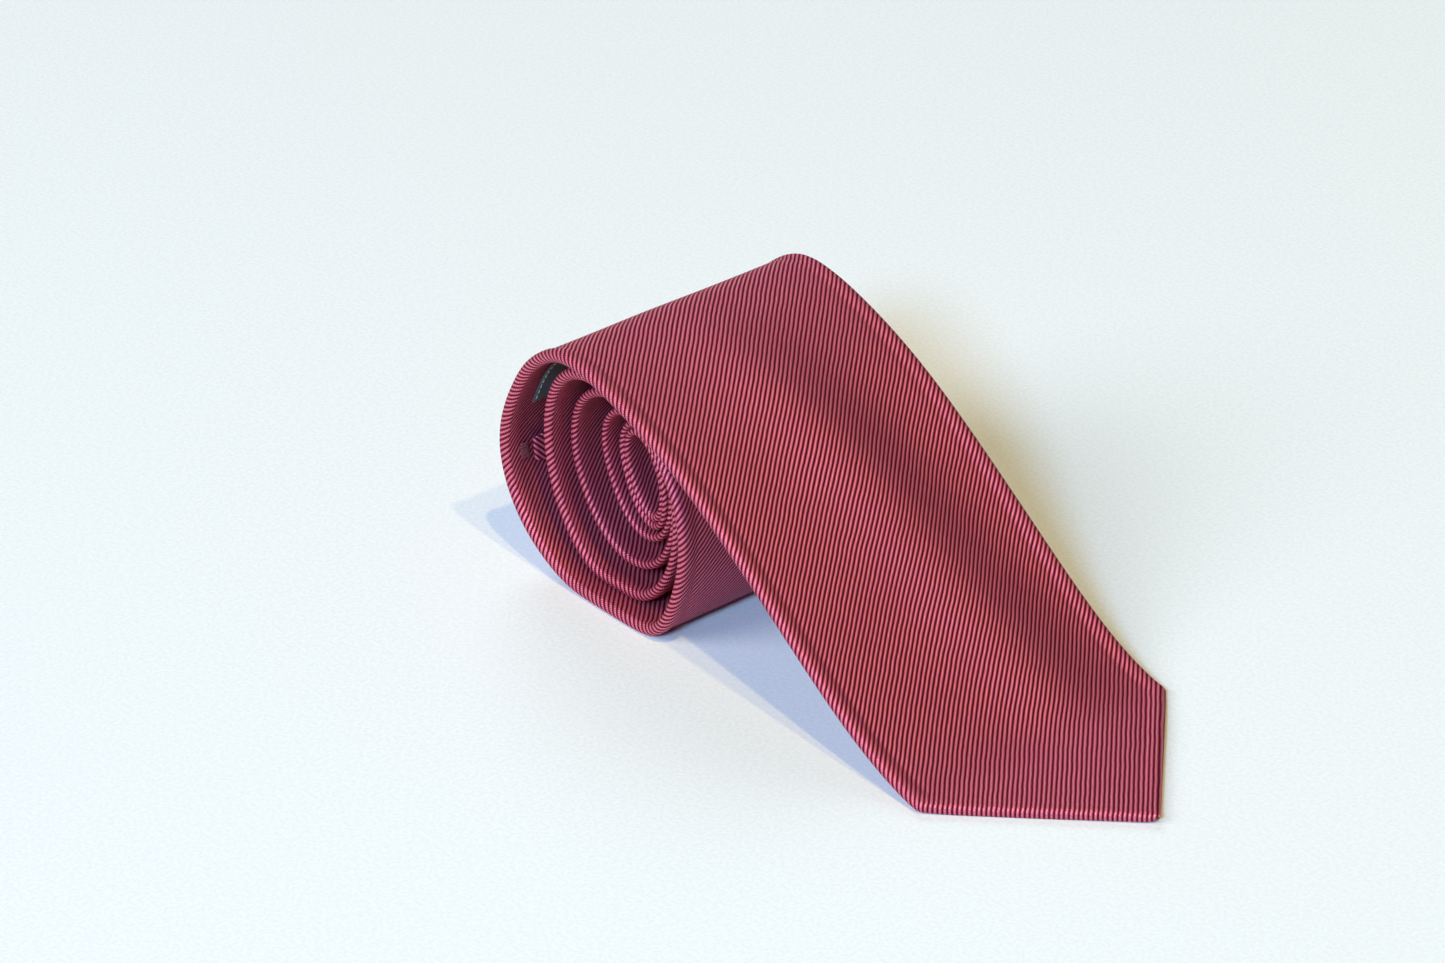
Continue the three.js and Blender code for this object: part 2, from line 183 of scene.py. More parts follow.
def smooth_along(pairs, place):
    """A smooth curve through (place, value) pairs."""
    last = len(pairs) - 1
    i = 0
    while i < last - 1 and place > pairs[i + 1][0]:
        i += 1

    def slope(k):
        a, b = pairs[max(k - 1, 0)], pairs[min(k + 1, last)]
        return (b[1] - a[1]) / (b[0] - a[0])

    a, b = pairs[i], pairs[i + 1]
    span = b[0] - a[0]
    u = min(max((place - a[0]) / span, 0), 1)
    curve = (2 * u**3 - 3 * u**2 + 1) * a[1] + (3 * u**2 - 2 * u**3) * b[1]
    return curve + (u**3 - 2 * u**2 + u) * span * slope(i) + (u**3 - u**2) * span * slope(i + 1)


def ease(x):
    """0 before 0, 1 after 1, and smooth in between."""
    x = np.clip(x, 0, 1)
    return x * x * (3 - 2 * x)


def wanted_radius(angle):
    """The front face's radius at an angle of the roll, before the turns are kept apart."""
    last_of_outer = OUTER_TURN[-1][0]
    if angle <= last_of_outer:
        radius = smooth_along(OUTER_TURN, angle)
        down = -math.sin(math.radians(angle))
        return min(radius, ROLL_CENTRE[1] / down) if down > 0.2 else radius
    half_turns = (angle - last_of_outer) / 180
    long = np.interp(half_turns, range(len(HALF_LONG)), HALF_LONG)
    short = np.interp(max(half_turns - 0.5, 0), range(len(HALF_SHORT)), HALF_SHORT)
    lean = math.radians(angle - LEAN_DEGREES)
    return 1 / math.hypot(math.cos(lean) / long, math.sin(lean) / short)


def smoothed(values, sigma):
    """Values averaged with their neighbours. sigma is in samples, and the ends stay put."""
    reach = int(3 * sigma)
    kernel = np.exp(-0.5 * (np.arange(-reach, reach + 1) / sigma) ** 2)
    kernel /= kernel.sum()
    start = 2 * values[0] - values[reach:0:-1]
    end = 2 * values[-1] - values[-2 : -reach - 2 : -1]
    return np.convolve(np.concatenate([start, values, end]), kernel, "valid")


class Course:
    """The front face seen along the roll's axis: place, direction into the tie, and s, finely sampled."""

    STEP = 0.25

    def __init__(self):
        x, z = self.line()
        run = np.concatenate([[0], np.cumsum(np.hypot(np.diff(x), np.diff(z)))])
        even = np.arange(0, run[-1], self.STEP)
        x, z = np.interp(even, run, x), np.interp(even, run, z)
        core = ease((even - CORE_FROM) / CORE_SETS_IN_OVER)
        x = smoothed(x, SMOOTHING) * (1 - core) + smoothed(x, CORE_SMOOTHING) * core
        z = smoothed(z, SMOOTHING) * (1 - core) + smoothed(z, CORE_SMOOTHING) * core
        run = np.concatenate([[0], np.cumsum(np.hypot(np.diff(x), np.diff(z)))])
        self.x, self.z = x, z
        self.s = run - np.interp(-CORNER_X, -x[: len(x) // 8], run[: len(x) // 8])
        tx, tz = np.gradient(x, run), np.gradient(z, run)
        length = np.hypot(tx, tz)
        self.into_x, self.into_z = -tz / length, tx / length
        self.end = self.s[-1]

    def line(self):
        tip = CORNER_X + POINT_LENGTH
        p = np.array(FREE_BLADE_CURVE)
        x, z = [tip], [p[0][1]]
        for u in np.linspace(0, 1, 300):
            weights = np.array([(1 - u) ** 3, 3 * u * (1 - u) ** 2, 3 * u * u * (1 - u), u**3])
            x.append(weights @ p[:, 0])
            z.append(weights @ p[:, 1])
        travelled = self.length(x, z) - POINT_LENGTH
        radii = {}
        first = math.ceil(OUTER_TURN[0][0])
        for angle in range(first, int(LAST_ANGLE) + 1):
            radius = wanted_radius(angle)
            if angle - 360 in radii:
                outside, thickness = radii[angle - 360]
                radius = min(radius, outside - thickness - TURN_GAP)
            x.append(ROLL_CENTRE[0] + radius * math.cos(math.radians(angle)))
            z.append(ROLL_CENTRE[1] + radius * math.sin(math.radians(angle)))
            travelled += math.hypot(x[-1] - x[-2], z[-1] - z[-2])
            radii[angle] = (radius, along(THICKNESSES, travelled))
        return np.array(x), np.array(z)

    @staticmethod
    def length(x, z):
        return float(np.sum(np.hypot(np.diff(x), np.diff(z))))

    def point(self, s, y, depth):
        """Row-frame places in metres. The three arguments are numbers or arrays of one shape."""
        s, y, depth = np.broadcast_arrays(s, y, depth)
        y = y - ASKEW * ease((s - CORE_FROM) / ASKEW_OVER)
        x = np.interp(s, self.s, self.x) + np.interp(s, self.s, self.into_x) * depth
        z = np.interp(s, self.s, self.z) + np.interp(s, self.s, self.into_z) * depth
        return np.stack([x, y, np.maximum(z, RESTS_AT)], -1) * MM

    def direction(self, s, across, inward):
        """A unit direction from its parts across the tie and into it."""
        s, across, inward = np.broadcast_arrays(s, across, inward)
        x = np.interp(s, self.s, self.into_x) * inward
        z = np.interp(s, self.s, self.into_z) * inward
        return np.stack([x, across, z], -1)


course = Course()


def half_width(s):
    half = along(WIDTHS, s) / 2
    if s < 0:
        half = BLADE_WIDTH / 2 * (1 + s / POINT_LENGTH)
    to_end = course.end - s
    if to_end < TAIL_POINT_LENGTH:
        half *= to_end / TAIL_POINT_LENGTH
    return float(half)


def thickness(s):
    """The folded tie's thickness. It thins out at the very tips of both points."""
    full = along(THICKNESSES, s)
    from_lined = s - course.end + TAIL_LINED
    full += (TAIL_THICK - full) * ease((from_lined + TAIL_THICKENS_OVER) / TAIL_THICKENS_OVER)
    room = half_width(s) / slant_at(s)
    if room < TIP_ROUNDING:
        full = min(full * math.sqrt(1 - (1 - room / TIP_ROUNDING) ** 2), room * 1.8)
    return float(full)


def slant_at(s):
    """How much longer a step across the tie is than one square to its edge."""
    return math.sqrt(2) if s < 0 or s > course.end - TAIL_POINT_LENGTH else 1.0


def flap_gap(s):
    """Half the distance between the two back flaps."""
    half = half_width(s)
    if s < 0:
        return max(FLAP_GAP, half - HEM_DEPTH)
    if s < VEE_LENGTH:
        return (half - HEM_DEPTH) * (1 - s / VEE_LENGTH) + FLAP_GAP
    tail = s - (course.end - TAIL_POINT_LENGTH)
    return max(FLAP_GAP, min(half - TAIL_HEM_DEPTH, tail * TAIL_VEE_SLOPE)) if tail > 0 else FLAP_GAP


def waves(s, y, seed):
    """Slow unevenness of hand-made, handled cloth, between about -1 and 1."""
    a = np.sin(s / 17.0 + y / 31.0 + seed)
    b = np.sin(s / 9.3 - y / 14.0 + 2.1 * seed)
    c = np.sin(y / 8.5 + s / 41.0 + 0.7 * seed)
    return 0.5 * a + 0.3 * b + 0.2 * c


# ---------------------------------------------------------------- mesh making
def new_mesh(name, vertices, faces, flat=None):
    """A mesh object. flat is each vertex's place on the unfolded cloth, in millimetres, for its weave."""
    mesh = bpy.data.meshes.new(name)
    mesh.from_pydata([tuple(v) for v in vertices], [], faces)
    if flat is not None:
        attribute = mesh.attributes.new("flat", "FLOAT_VECTOR", "POINT")
        attribute.data.foreach_set("vector", np.asarray(flat, np.float32).ravel())
    mesh.update()
    piece = bpy.data.objects.new(name, mesh)
    bpy.context.collection.objects.link(piece)
    return piece


def finish_mesh(piece, merge=2e-6):
    """Merges points that lie together, points every face outwards and shades smoothly."""
    work = bmesh.new()
    work.from_mesh(piece.data)
    bmesh.ops.remove_doubles(work, verts=work.verts, dist=merge)
    bmesh.ops.dissolve_degenerate(work, edges=work.edges, dist=merge)
    bmesh.ops.recalc_face_normals(work, faces=work.faces)
    for face in work.faces:
        face.smooth = True
    work.to_mesh(piece.data)
    work.free()
    return piece


def thick_sheet(name, middle, normal, thick, flat):
    """A closed sheet of cloth round a grid of middle points, with thick as its thickness at each of them."""
    rows, columns = middle.shape[:2]
    half = (np.broadcast_to(thick, (rows, columns)) / 2 * MM)[..., None]
    outer, inner = middle + normal * half, middle - normal * half
    vertices = np.concatenate([outer.reshape(-1, 3), inner.reshape(-1, 3)])
    vertices[:, 2] = np.maximum(vertices[:, 2], RESTS_AT * MM)
    count = rows * columns
    faces = []
    for r in range(rows - 1):
        for c in range(columns - 1):
            a, b = r * columns + c, r * columns + c + 1
            d, e = a + columns, b + columns
            faces.append((a, b, e, d))
            faces.append((count + a, count + d, count + e, count + b))
    around = [r * columns for r in range(rows - 1)]
    around += [(rows - 1) * columns + c for c in range(columns - 1)]
    around += [r * columns + columns - 1 for r in range(rows - 1, 0, -1)]
    around += [c for c in range(columns - 1, 0, -1)]
    for a, b in zip(around, around[1:] + around[:1]):
        faces.append((a, b, count + b, count + a))
    return finish_mesh(new_mesh(name, vertices, faces, np.concatenate([flat.reshape(-1, 3)] * 2)))


def swept(name, rings, flats):
    """A closed body from rings of points, all of one count. Its two end rings are capped."""
    count = len(rings[0])
    faces = []
    for r in range(len(rings) - 1):
        for k in range(count):
            a, b = r * count + k, r * count + (k + 1) % count
            faces.append((a, b, b + count, a + count))
    last = (len(rings) - 1) * count
    faces.append(tuple(range(count - 1, -1, -1)))
    faces.append(tuple(last + k for k in range(count)))
    return finish_mesh(new_mesh(name, np.concatenate(rings), faces, np.concatenate(flats)))


def slab_along(name, start, end, step, outline_at):
    """A layer swept along the tie. outline_at(s) gives its outline across the tie as (y, depth) points."""
    places = np.arange(start, end, step).tolist() + [end]
    rings, flats = [], []
    for s in places:
        y, depth = np.array(outline_at(s)).T
        rings.append(course.point(s, y, depth + drift(s, y)))
        flats.append(np.stack([np.full(len(y), s), y, depth], -1))
    return swept(name, rings, flats)


def round_outline(near, far, top, bottom, columns=8, corner_steps=3):
    """An outline across the tie from near to far, with rounded ends."""
    radius = min((bottom - top) / 2, (far - near) / 4)
    middle = (top + bottom) / 2
    across = np.linspace(near + radius, far - radius, columns)
    turn = np.linspace(math.pi / 2, -math.pi / 2, corner_steps * 2 + 1)[1:-1]
    outline = [(y, bottom) for y in across]
    outline += [(far - radius + radius * math.cos(t), middle + radius * math.sin(t)) for t in turn]
    outline += [(y, top) for y in across[::-1]]
    outline += [(near + radius - radius * math.cos(t), middle - radius * math.sin(t)) for t in turn]
    return outline


def tube(name, middle, radius, sides=6):
    """A closed thread round a line of row-frame points."""
    middle = np.asarray(middle, float)
    forward = np.gradient(middle, axis=0)
    forward /= np.linalg.norm(forward, axis=1)[:, None]
    side = np.cross(forward, (0.0, 0.31, 0.95))
    side /= np.linalg.norm(side, axis=1)[:, None]
    up = np.cross(side, forward)
    radii = np.broadcast_to(radius, len(middle)) * MM
    run = np.concatenate([[0], np.cumsum(np.linalg.norm(np.diff(middle, axis=0), axis=1))]) / MM
    rings, flats = [], []
    for at, across, above, thick, so_far in zip(middle, side, up, radii, run):
        turn = np.arange(sides) * 2 * math.pi / sides
        rings.append(at + thick * (np.outer(np.cos(turn), across) + np.outer(np.sin(turn), above)))
        flats.append(np.stack([np.full(sides, so_far), turn * thick / MM, np.zeros(sides)], -1))
    return swept(name, rings, flats)


def joined(name, pieces):
    """One object from several of them."""
    work = bmesh.new()
    for piece in pieces:
        work.from_mesh(piece.data)
        bpy.data.objects.remove(piece)
    mesh = bpy.data.meshes.new(name)
    work.to_mesh(mesh)
    work.free()
    whole = bpy.data.objects.new(name, mesh)
    bpy.context.collection.objects.link(whole)
    return whole


# ---------------------------------------------------------------- the shell's folded section
MIDDLE_STEPS = 9
EDGE_STEPS = 12
EDGE_RUN = 9.0  # the part next to the fold that EDGE_STEPS divide, in millimetres
FOLD_STEPS = 9
BACK_STEPS = 10
TURN_STEPS = 4
NARROW = 20.0  # where the tie's half width is less than this, details of its section shrink with it
TURN_RADIUS = 0.62  # of the raw edge's turn, in thicknesses of the cloth
# Near the tips there is little room: the most that the cloth may take of the tie's thickness, and that the
# slot and the part turned under may take of the section
MOST_CLOTH = 0.45
MOST_GAP = 0.6
MOST_UNDER = 0.7
# How far apart the rings of the mesh are at places along the tie
RING_STEPS = [(-44, 0.25), (-40, 0.5), (-36, 1.2), (0, 1.2), (500, 1.2), (800, 0.9), (1000, 0.6)]


def half_section(s):
    """The middle line of the shell's cloth from the centre of the front to the raw edge turned under the
    back flap, on one side. Each row is y, depth, y and depth parts of the outward normal, and how far the
    point lies from the outline on the unfolded cloth, square to it. The last value is the cloth's thickness.
    """
    half, thick, slant = half_width(s), thickness(s), slant_at(s)
    cloth = min(CLOTH, MOST_CLOTH * thick)
    radius = (thick - cloth) / 2
    straight = half - slant * thick / 2
    gap = min(flap_gap(s), straight * MOST_GAP)
    rows = []
    edge = EDGE_RUN * min(1, straight / NARROW)
    middle_part = np.linspace(0, straight - edge, MIDDLE_STEPS)
    edge_part = np.linspace(straight - edge, straight, EDGE_STEPS + 1)[1:]
    for y in np.concatenate([middle_part, edge_part]):
        rows.append((y, cloth / 2, 0, -1, (y - half) / slant))
    at_fold = rows[-1][4]
    for turn in np.linspace(0, math.pi, FOLD_STEPS + 1)[1:]:
        y = straight + slant * radius * math.sin(turn)
        depth = thick / 2 - radius * math.cos(turn)
        rows.append((y, depth, math.sin(turn), -math.cos(turn), at_fold + radius * turn))
    at_back = rows[-1][4]
    turn_radius = cloth * TURN_RADIUS
    back_end = min(gap + slant * (cloth / 2 + turn_radius), straight * 0.95)
    for share in np.linspace(0, 1, BACK_STEPS + 1)[1:]:
        y = straight + (back_end - straight) * share
        rows.append((y, thick - cloth / 2, 0, 1, at_back + (straight - y) / slant))
    at_turn = rows[-1][4]
    for turn in np.linspace(0, math.pi, TURN_STEPS + 1)[1:]:
        y = back_end - slant * turn_radius * math.sin(turn)
        depth = thick - cloth / 2 - turn_radius * (1 - math.cos(turn))
        rows.append((y, depth, -math.sin(turn), math.cos(turn), at_turn + turn_radius * turn))
    at_under = rows[-1][4]
    under = min(TURNED_UNDER, (straight - back_end) * MOST_UNDER)
    for share in (0.5, 1.0):
        y = back_end + under * share * slant
        rows.append((y, rows[-1][1], 0, -1, at_under + under * share))
    return np.array(rows), cloth


def hump(place, shape, at="at"):
    """A bell curve: 1 at shape's own place and close to 0 two widths away."""
    return np.exp(-(((place - shape[at]) / shape["width"]) ** 2))


def drift(s, y):
    """How far the whole tie, all its layers together, moves along depth from its plain course."""
    room = thickness(s) / THICK * ease(half_width(s) / NARROW)
    place = y - (FOLD_LINE["at"] - FOLD_LINE["slope"] * s)
    fold = 0.0
    for part, way in ((FOLD_RIDGE, 1), (FOLD_TROUGH, -1)):
        fold += way * part["height"] * hump(place, part) * (1 - ease((s - part["ends"]) / part["over"]))
    return (UNEVEN * waves(s, y, 1.0) - ease((s - FOLD_BEGINS) / FOLD_GROWS_OVER) * fold) * room


def fullness(s, y, depth):
    """How far the shell's cloth sinks towards the wool: a puffed edge, a narrow groove and a flat middle."""
    thick, half = thickness(s), half_width(s)
    from_edge = (half - np.abs(y)) / slant_at(s)
    sunk = SINK["depth"] * ease((from_edge - SINK["from_edge"]) / SINK["over"])
    sunk += GROOVE["depth"] * hump(from_edge, GROOVE, "from_edge")
    sunk -= FRONT_PUFF["height"] * hump(from_edge, FRONT_PUFF, "from_edge")
    # On the back the edge is puffed more, and beside the label the flap has small creases
    bulge = BACK_PUFF["height"] * hump(from_edge, BACK_PUFF, "from_edge")
    phase = (s + CREASES["slant"] * from_edge) / CREASES["pitch"]
    crease = CREASES["height"] * np.maximum(0, np.sin(2 * math.pi * phase))
    crease *= math.exp(-(((s - CREASES["at"]) / CREASES["reach"]) ** 2))
    crease *= ease((from_edge - CREASES_ACROSS["from_edge"]) / CREASES_ACROSS["grow_over"])
    crease *= 1 - ease((from_edge - CREASES_ACROSS["fade_from"]) / CREASES_ACROSS["fade_over"])
    back = BACK_SINKS * sunk - bulge - crease
    return np.where(depth < thick / 2, sunk, -back) * thick / THICK * ease(half / NARROW)


def shell_grid(places):
    """Middle points, normals, cloth thicknesses and unfolded places of the shell at the given places."""
    middle, normal, thick_of, flat = [], [], [], []
    for s in places:
        rows, cloth = half_section(s)
        half, slant = half_width(s), slant_at(s)
        y = np.concatenate([-rows[:0:-1, 0], rows[:, 0]])
        side = np.concatenate([-np.ones(len(rows) - 1), np.ones(len(rows))])
        depth = np.concatenate([rows[:0:-1, 1], rows[:, 1]])
        out_y = np.concatenate([-rows[:0:-1, 2], rows[:, 2]]) * slant
        out_depth = np.concatenate([rows[:0:-1, 3], rows[:, 3]])
        unfolded = np.concatenate([rows[:0:-1, 4], rows[:, 4]])
        moved = depth + fullness(s, y, depth) + drift(s, y)
        middle.append(course.point(s, y, moved))
        normal.append(course.direction(s, out_y, out_depth))
        thick_of.append(np.full(len(y), cloth))
        # On a slanted edge the cloth is unfolded square to that edge, and so along the tie as well as across
        towards_tip = -ease(-s / 4 + 0.5) if s < course.end / 2 else 0.0
        step = unfolded + (half - np.abs(y)) / slant
        turn = towards_tip * math.pi / 4
        flat_s = s + step * math.sin(turn)
        flat_y = y + side * step * math.cos(turn)
        flat.append(np.stack([flat_s, flat_y, np.zeros(len(y))], -1))
    return np.stack(middle), np.stack(normal), np.stack(thick_of), np.stack(flat)


def places_between(start, end):
    """Places for the rings of a swept piece: close where the tie bends tightly and at its two tips."""
    places = [start]
    while places[-1] < end:
        s = places[-1]
        places.append(s + float(along(RING_STEPS, s)))
    places[-1] = end
    if len(places) > 2 and places[-1] - places[-2] < 0.3 * (places[-2] - places[-3]):
        del places[-2]
    return places


def add_shell(name, start, end, sunk=0.0):
    """A length of the folded shell. sunk is how far its cloth lies under the plain one's, in millimetres."""
    middle, normal, thick, flat = shell_grid(places_between(start, end))
    return thick_sheet(name, middle - normal * sunk * MM, normal, thick, flat)


# ---------------------------------------------------------------- materials
def material(name):
    """A new material with its node tree, and the Principled shader in it."""
    made = bpy.data.materials.new(name)
    made.use_nodes = True
    return made, made.node_tree, made.node_tree.nodes["Principled BSDF"]


def maths(tree, operation, *values):
    """A Math node. Each value is a number or a socket."""
    node = tree.nodes.new("ShaderNodeMath")
    node.operation = operation
    for socket, value in zip(node.inputs, values):
        put(tree, socket, value)
    return node.outputs[0]


def put(tree, socket, value):
    if isinstance(value, bpy.types.NodeSocket):
        tree.links.new(value, socket)
    else:
        socket.default_value = value


def colour_mix(tree, factor, a, b):
    node = tree.nodes.new("ShaderNodeMix")
    node.data_type = "RGBA"
    put(tree, node.inputs["Factor"], factor)
    put(tree, node.inputs[6], a)
    put(tree, node.inputs[7], b)
    return node.outputs[2]


def ramp(tree, factor, stops):
    node = tree.nodes.new("ShaderNodeValToRGB")
    node.color_ramp.interpolation = "EASE"
    elements = node.color_ramp.elements
    while len(elements) < len(stops):
        elements.new(0.5)
    for element, (place, colour) in zip(elements, stops):
        element.position = place
        element.color = colour
    tree.links.new(factor, node.inputs["Fac"])
    return node.outputs["Color"]


def noise(tree, vector, scale, detail=2.0):
    node = tree.nodes.new("ShaderNodeTexNoise")
    node.inputs["Scale"].default_value = scale
    node.inputs["Detail"].default_value = detail
    tree.links.new(vector, node.inputs["Vector"])
    return node.outputs["Fac"]


def bump(tree, height, distance, strength=1.0, before=None):
    node = tree.nodes.new("ShaderNodeBump")
    node.inputs["Strength"].default_value = strength
    node.inputs["Distance"].default_value = distance
    tree.links.new(height, node.inputs["Height"])
    if before is not None:
        tree.links.new(before, node.inputs["Normal"])
    return node.outputs["Normal"]


def unfolded_place(tree):
    """The place on the flat cloth, in millimetres: along the tie, across it, and both as a vector."""
    node = tree.nodes.new("ShaderNodeAttribute")
    node.attribute_name = "flat"
    split = tree.nodes.new("ShaderNodeSeparateXYZ")
    tree.links.new(node.outputs["Vector"], split.inputs[0])
    return split.outputs[0], split.outputs[1], node.outputs["Vector"]


def srgb(red, green, blue):
    """An sRGB colour in 0 to 255 as the linear colour that a shader takes."""
    linear = [((c / 255 + 0.055) / 1.055) ** 2.4 if c > 10 else c / 255 / 12.92 for c in (red, green, blue)]
    return (*linear, 1.0)


# The twill's ribs and the short floats of thread that cross them, in millimetres
RIB_PITCH = 1.26
RIB_WOBBLE = 0.4  # in rib pitches
FLOAT_PITCH = 0.55
FLOAT_SLANT = 0.9
FLOAT_RELIEF = 0.36
RIB_HEIGHT = 0.2 * MM
FUZZ_HEIGHT = 0.04 * MM


def twill_pattern(tree, s, y, place):
    """Three parts of the weave: rib is 0 in a valley and 1 on a crown, floats is 1 in the middle of a float
    and 0 between two of them, and thread is a random number for each float.
    """
    wobble = maths(tree, "MULTIPLY", maths(tree, "SUBTRACT", noise(tree, place, 0.12, 2.0), 0.5), RIB_WOBBLE)
    across = maths(tree, "DIVIDE", maths(tree, "SUBTRACT", y, s), RIB_PITCH * math.sqrt(2))
    across = maths(tree, "ADD", across, wobble)
    lengthwise = maths(tree, "DIVIDE", maths(tree, "ADD", y, s), FLOAT_PITCH * math.sqrt(2))
    cosine = maths(tree, "COSINE", maths(tree, "MULTIPLY", across, 2 * math.pi))
    rib = maths(tree, "MULTIPLY_ADD", cosine, -0.5, 0.5)
    rib_number = maths(tree, "FLOOR", across)
    slanted = maths(tree, "MULTIPLY_ADD", maths(tree, "FRACT", across), FLOAT_SLANT, lengthwise)
    per_rib = tree.nodes.new("ShaderNodeTexWhiteNoise")
    per_rib.noise_dimensions = "1D"
    tree.links.new(rib_number, per_rib.inputs["W"])
    slanted = maths(tree, "ADD", slanted, per_rib.outputs["Value"])
    wave = maths(tree, "COSINE", maths(tree, "MULTIPLY", slanted, 2 * math.pi))
    floats = maths(tree, "MULTIPLY_ADD", wave, 0.5, 0.5)
    thread = tree.nodes.new("ShaderNodeTexWhiteNoise")
    thread.noise_dimensions = "2D"
    pair = tree.nodes.new("ShaderNodeCombineXYZ")
    tree.links.new(rib_number, pair.inputs[0])
    tree.links.new(maths(tree, "FLOOR", slanted), pair.inputs[1])
    tree.links.new(pair.outputs[0], thread.inputs["Vector"])
    return rib, floats, thread.outputs["Value"]


def twill_material():
    """Silk twill: rope-like ribs at 45 degrees, each made of short slanted floats, with painted shade and
    highlights.
    """
    made, tree, shader = material("silk_twill")
    s, y, place = unfolded_place(tree)
    rib, floats, thread = twill_pattern(tree, s, y, place)
    # From valley to crown: the silk's crimson, with painted shade darkening the valleys and a painted
    # highlight lightening the crowns
    valley_shade_to_crown_highlight = [
        (0.0, srgb(46, 4, 22)),
        (0.25, srgb(112, 18, 44)),
        (0.5, srgb(218, 84, 112)),
        (1.0, srgb(255, 148, 172)),
    ]
    colour = ramp(tree, rib, valley_shade_to_crown_highlight)
    # Some floats are painted lighter at their crowns, by a share that differs from float to float: a painted
    # highlight
    float_crown_highlight = maths(tree, "MULTIPLY", thread, maths(tree, "MULTIPLY", rib, 0.42))
    colour = colour_mix(tree, float_crown_highlight, colour, srgb(255, 128, 128))
    # Between the floats the colour is painted darker: painted shade
    shade_between_floats = maths(tree, "MULTIPLY", maths(tree, "SUBTRACT", 1.0, floats), 0.5)
    colour = colour_mix(tree, shade_between_floats, colour, srgb(112, 22, 46))
    uneven = maths(tree, "MULTIPLY", noise(tree, place, 0.05, 2.0), 0.28)
    colour = colour_mix(tree, uneven, colour, srgb(138, 34, 60))
    tree.links.new(colour, shader.inputs["Base Color"])

    tree.links.new(maths(tree, "MULTIPLY_ADD", rib, -0.12, 0.56), shader.inputs["Roughness"])
    rib_round = maths(tree, "POWER", rib, 0.6)
    relief = maths(tree, "MULTIPLY_ADD", floats, FLOAT_RELIEF, 1 - FLOAT_RELIEF)
    height = maths(tree, "MULTIPLY", rib_round, relief)
    fine = bump(tree, noise(tree, place, 3.5, 2.0), FUZZ_HEIGHT, 0.6)
    tree.links.new(bump(tree, height, RIB_HEIGHT, 1.0, fine), shader.inputs["Normal"])
    shine = maths(tree, "MULTIPLY", rib_round, 0.75)
    tree.links.new(shine, shader.inputs["Specular IOR Level"])
    shader.inputs["IOR"].default_value = 1.5
    # Silk's own colour shows in its sheen, as a metal's does
    shader.inputs["Metallic"].default_value = 0.6
    shader.inputs["Specular Tint"].default_value = srgb(255, 222, 226)
    return made


def satin_material():
    """The lining of the points: smooth satin with fine threads across the tie."""
    made, tree, shader = material("lining_satin")
    s, _, place = unfolded_place(tree)
    threads = maths(tree, "SINE", maths(tree, "MULTIPLY", s, 2 * math.pi / 0.28))
    streak = noise(tree, place, 0.9, 4.0)
    shade = maths(tree, "MULTIPLY_ADD", threads, 0.12, streak)
    colour = ramp(tree, shade, [(0.25, srgb(70, 12, 28)), (0.75, srgb(112, 24, 44))])
    tree.links.new(colour, shader.inputs["Base Color"])
    shader.inputs["Roughness"].default_value = 0.33
    shader.inputs["Sheen Weight"].default_value = 0.3
    tree.links.new(bump(tree, shade, 0.00003), shader.inputs["Normal"])
    return made


def wool_material():
    """Brushed wool interlining: pale, matt and hairy."""
    made, tree, shader = material("interlining_wool")
    s, y, place = unfolded_place(tree)
    hair = noise(tree, place, 2.4, 6.0)
    warp = maths(tree, "SINE", maths(tree, "MULTIPLY", y, 2 * math.pi / 0.9))
    weft = maths(tree, "SINE", maths(tree, "MULTIPLY", s, 2 * math.pi / 0.9))
    weave = maths(tree, "MULTIPLY", warp, weft)
    height = maths(tree, "MULTIPLY_ADD", weave, 0.2, hair)
    colour = ramp(tree, height, [(0.2, srgb(176, 166, 146)), (0.8, srgb(226, 219, 202))])
    tree.links.new(colour, shader.inputs["Base Color"])
    shader.inputs["Roughness"].default_value = 0.95
    shader.inputs["Sheen Weight"].default_value = 0.4
    tree.links.new(bump(tree, height, 0.0002), shader.inputs["Normal"])
    return made


def thread_material(name, dark, light):
    """Twisted silk sewing thread."""
    made, tree, shader = material(name)
    s, y, _ = unfolded_place(tree)
    twist = maths(tree, "SINE", maths(tree, "MULTIPLY", maths(tree, "ADD", s, y), 2 * math.pi / 0.35))
    shade = maths(tree, "MULTIPLY_ADD", twist, 0.35, 0.5)
    colour = ramp(tree, shade, [(0.1, dark), (0.9, light)])
    tree.links.new(colour, shader.inputs["Base Color"])
    shader.inputs["Roughness"].default_value = 0.5
    shader.inputs["Sheen Weight"].default_value = 0.2
    tree.links.new(bump(tree, shade, 0.00006), shader.inputs["Normal"])
    return made


def ribbon_material(name, dark, light, pitch, roughness):
    """Woven label ribbon: fine ribs across and finer threads along."""
    made, tree, shader = material(name)
    s, y, place = unfolded_place(tree)
    ribs = maths(tree, "SINE", maths(tree, "MULTIPLY", s, 2 * math.pi / pitch))
    threads = maths(tree, "SINE", maths(tree, "MULTIPLY", y, 2 * math.pi / (pitch * 0.7)))
    weave = maths(tree, "MULTIPLY", ribs, threads)
    shade = maths(tree, "MULTIPLY_ADD", weave, 0.25, noise(tree, place, 1.4, 3.0))
    colour = ramp(tree, shade, [(0.2, dark), (0.85, light)])
    tree.links.new(colour, shader.inputs["Base Color"])
    shader.inputs["Roughness"].default_value = roughness
    shader.inputs["Sheen Weight"].default_value = 0.15
    tree.links.new(bump(tree, shade, 0.00006), shader.inputs["Normal"])
    return made


def floor_material():
    """A plain pale surface with a trace of grain."""
    made, tree, shader = material("pale_floor")
    node = tree.nodes.new("ShaderNodeNewGeometry")
    grain = noise(tree, node.outputs["Position"], 900.0, 2.0)
    colour = ramp(tree, grain, [(0.3, srgb(229, 230, 231)), (0.7, srgb(236, 238, 238))])
    tree.links.new(colour, shader.inputs["Base Color"])
    shader.inputs["Roughness"].default_value = 0.9
    return made


